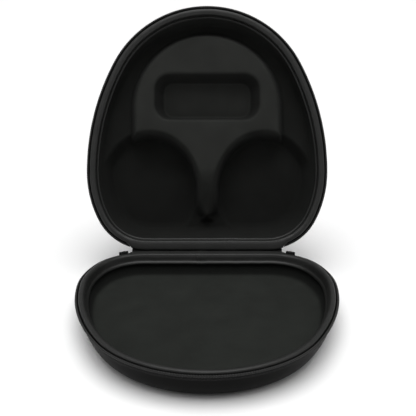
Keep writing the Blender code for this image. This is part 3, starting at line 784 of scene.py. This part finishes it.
def make_hinge_cloth():
    """One strip of cloth down the back of the base, over the hinge line and down the lid."""
    sides = []
    for half, side in (("base", HINGE_BASE_SIDE), ("lid", HINGE_LID_SIDE)):
        inset, depth = np.array(side).T
        sides.append(place(half, np.zeros(len(side)), inset, depth)[:, 1:] / MM)
    start, end = sides[0][-1], sides[1][0]
    fine = np.vstack([sides[0], [(start + end) / 2], sides[1]])
    for _ in range(2):
        fine = cut_corners(fine, closed=False)
    u = np.linspace(-HINGE_CLOTH_HALF, HINGE_CLOTH_HALF, 106)
    x, s, _, _ = rim(u)
    share = along(fine) / along(fine)[-1]
    outward = np.interp(share, [0.0, 0.45, 0.55, 1.0], [1.0, 0.25, 0.25, 1.0])
    span = np.zeros((len(u), len(fine), 3))
    span[..., 0] = x[:, None]
    corner = s[:, None]
    is_base = (np.arange(len(fine)) < len(fine) / 2)[None, :]
    lid_y, lid_z = -math.cos(REST_OPENING), math.sin(REST_OPENING)
    span[..., 1] = fine[:, 0] + np.where(is_base, -corner, corner * lid_y) * outward
    span[..., 2] = fine[:, 1] + np.where(is_base, 0.0, corner * lid_z) * outward
    points = span * MM
    piece = grid_object("hinge_cloth", points, TAPE_MATERIAL, uv=uv_grid(u, along(fine)))
    add_thickness(piece, HINGE_CLOTH, offset=0.0)
    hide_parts("base_hinge_leaf", "lid_hinge_leaf")
    bpy.context.view_layer.update()
    mesh = bpy.data.meshes.new_from_object(piece.evaluated_get(
        bpy.context.evaluated_depsgraph_get()))
    piece.modifiers.clear()
    piece.data = mesh
    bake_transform(piece)


# ---------------------------------------------------------------- carried-over nodes

def finish_cad_nodes():
    """Gives the frame's own pieces that stay in view their materials."""
    looks = {"foam": FOAM_MATERIAL, "board": BOARD_MATERIAL, "coil": COIL_MATERIAL,
             "metal": METAL_MATERIAL}
    slots = {row["node"]: row["material_slot"] for row in frame["record"]["subparts"]}
    for name, node in frame["nodes"].items():
        if slots[name] in looks:
            node.data.materials.clear()
            node.data.materials.append(looks[slots[name]])


# ---------------------------------------------------------------- floor, light, camera

WORLD_STRENGTH = 0.30
# Each softbox as its place, its width and height, and its power in watts.
SOFTBOXES = {
    "left_strip": ((-1.3, -0.1, 0.5), (0.35, 1.2), 2.0),
    "right_strip": ((1.3, -0.1, 0.5), (0.35, 1.2), 2.0),
}
# Each broad, distant ceiling light as its elevation from the front, its spread and strength.
CEILING = {
    "ceiling": (88.0, 60.0, 2.5),
    "ceiling_front": (58.0, 45.0, 0.7),
}


def make_floor():
    size = 60.0
    mesh = bpy.data.meshes.new("floor")
    mesh.from_pydata([(-size, -size, 0), (size, -size, 0), (size, size, 0), (-size, size, 0)],
                     [], [(0, 1, 2, 3)])
    material, _, _, shader = new_material("pale_floor")
    shader.inputs["Base Color"].default_value = (0.86, 0.86, 0.86, 1.0)
    shader.inputs["Roughness"].default_value = 0.55
    mesh.materials.append(material)
    floor = bpy.data.objects.new("floor", mesh)
    floor.location.z = -0.0002
    bpy.context.scene.collection.objects.link(floor)


def area_light(name, location, target, size, power):
    light = bpy.data.lights.new(name, "AREA")
    light.shape = "RECTANGLE"
    light.size, light.size_y = size
    light.energy = power
    lamp = bpy.data.objects.new(name, light)
    lamp.location = location
    aim = Vector(target) - Vector(location)
    lamp.rotation_euler = aim.to_track_quat("-Z", "Y").to_euler()
    bpy.context.scene.collection.objects.link(lamp)


def make_light():
    world = bpy.data.worlds.new("studio")
    world.use_nodes = True
    background = world.node_tree.nodes["Background"]
    background.inputs["Color"].default_value = (1.0, 1.0, 1.0, 1.0)
    background.inputs["Strength"].default_value = WORLD_STRENGTH
    bpy.context.scene.world = world
    for name, (location, size, power) in SOFTBOXES.items():
        area_light(name, location, (0.0, 0.02, 0.08), size, power)
    for name, (elevation, spread, strength) in CEILING.items():
        sun = bpy.data.lights.new(name, "SUN")
        sun.angle = math.radians(spread)
        sun.energy = strength
        lamp = bpy.data.objects.new(name, sun)
        lamp.rotation_euler = (math.radians(90.0 - elevation), 0.0, 0.0)
        bpy.context.scene.collection.objects.link(lamp)
    bpy.context.scene.view_settings.view_transform = "Standard"


# The camera looks at the hinge: sensor and lens in mm, downward pitch, distance in metres,
# vertical shift and a small step to the right.
CAMERA = {"sensor": 36.0, "lens": 79.7, "pitch": math.radians(22.75), "distance": 0.802,
          "shift": 0.101, "step": 0.0008}


def make_camera():
    data = bpy.data.cameras.new("camera")
    data.sensor_width = CAMERA["sensor"]
    data.lens = CAMERA["lens"]
    data.shift_y = CAMERA["shift"]
    camera = bpy.data.objects.new("camera", data)
    aim = Vector(HINGE * MM)
    back = Vector((0.0, -math.cos(CAMERA["pitch"]), math.sin(CAMERA["pitch"])))
    camera.location = aim + back * CAMERA["distance"] + Vector((CAMERA["step"], 0.0, 0.0))
    camera.rotation_euler = (-back).to_track_quat("-Z", "Y").to_euler()
    bpy.context.scene.collection.objects.link(camera)
    bpy.context.scene.camera = camera


# ---------------------------------------------------------------- build

COVER_MATERIAL = pressed_cover("cover_cloth", (0.0030, 0.0030, 0.0028))
LINING_MATERIAL = brushed_knit("lining_knit", (0.0125, 0.0138, 0.0122))
# Painted light: the tray's knit is the lining's knit made half again lighter, standing in for light on the lid's
# front-facing tray.
TRAY_MATERIAL = brushed_knit("tray_knit", (0.0188, 0.0196, 0.0181))
BINDING_MATERIAL = woven("rim_tape", (0.0085, 0.0088, 0.0082), 0.0009, 0.0009, 0.44, 0.008,
                         specular=0.34)
TAPE_MATERIAL = woven("zip_tape", (0.0050, 0.0050, 0.0049), 0.0008, 0.0012, 0.7, 0.004, 0.00012,
                      specular=0.12)
THREAD_MATERIAL = woven("thread", (0.0095, 0.0095, 0.0092), 0.0004, 0.0004, 0.5, 0.01,
                        specular=0.3)
COIL_MATERIAL = moulded("nylon_coil", (0.0075, 0.0075, 0.0072), 0.45, specular=0.25)
METAL_MATERIAL = moulded("black_lacquer", (0.03, 0.03, 0.03), 0.3, 0.7)
FOAM_MATERIAL = moulded("shell_foam", (0.006, 0.006, 0.006), 0.9, specular=0.1)
BOARD_MATERIAL = moulded("floor_board", (0.02, 0.02, 0.02), 0.6)

make_camera()
make_floor()
make_light()
make_covers()
make_lining()
make_tray()
make_binding("base", BASE_WALL, 3, RIM_U - 6.0)
make_binding("lid", LID_WALL, 11, 19.0)
for side_name, side_wall in (("base", BASE_WALL), ("lid", LID_WALL)):
    make_coil(side_name)
    make_tape(side_name, side_wall)
make_all_stitches()
make_hinge_cloth()
finish_cad_nodes()
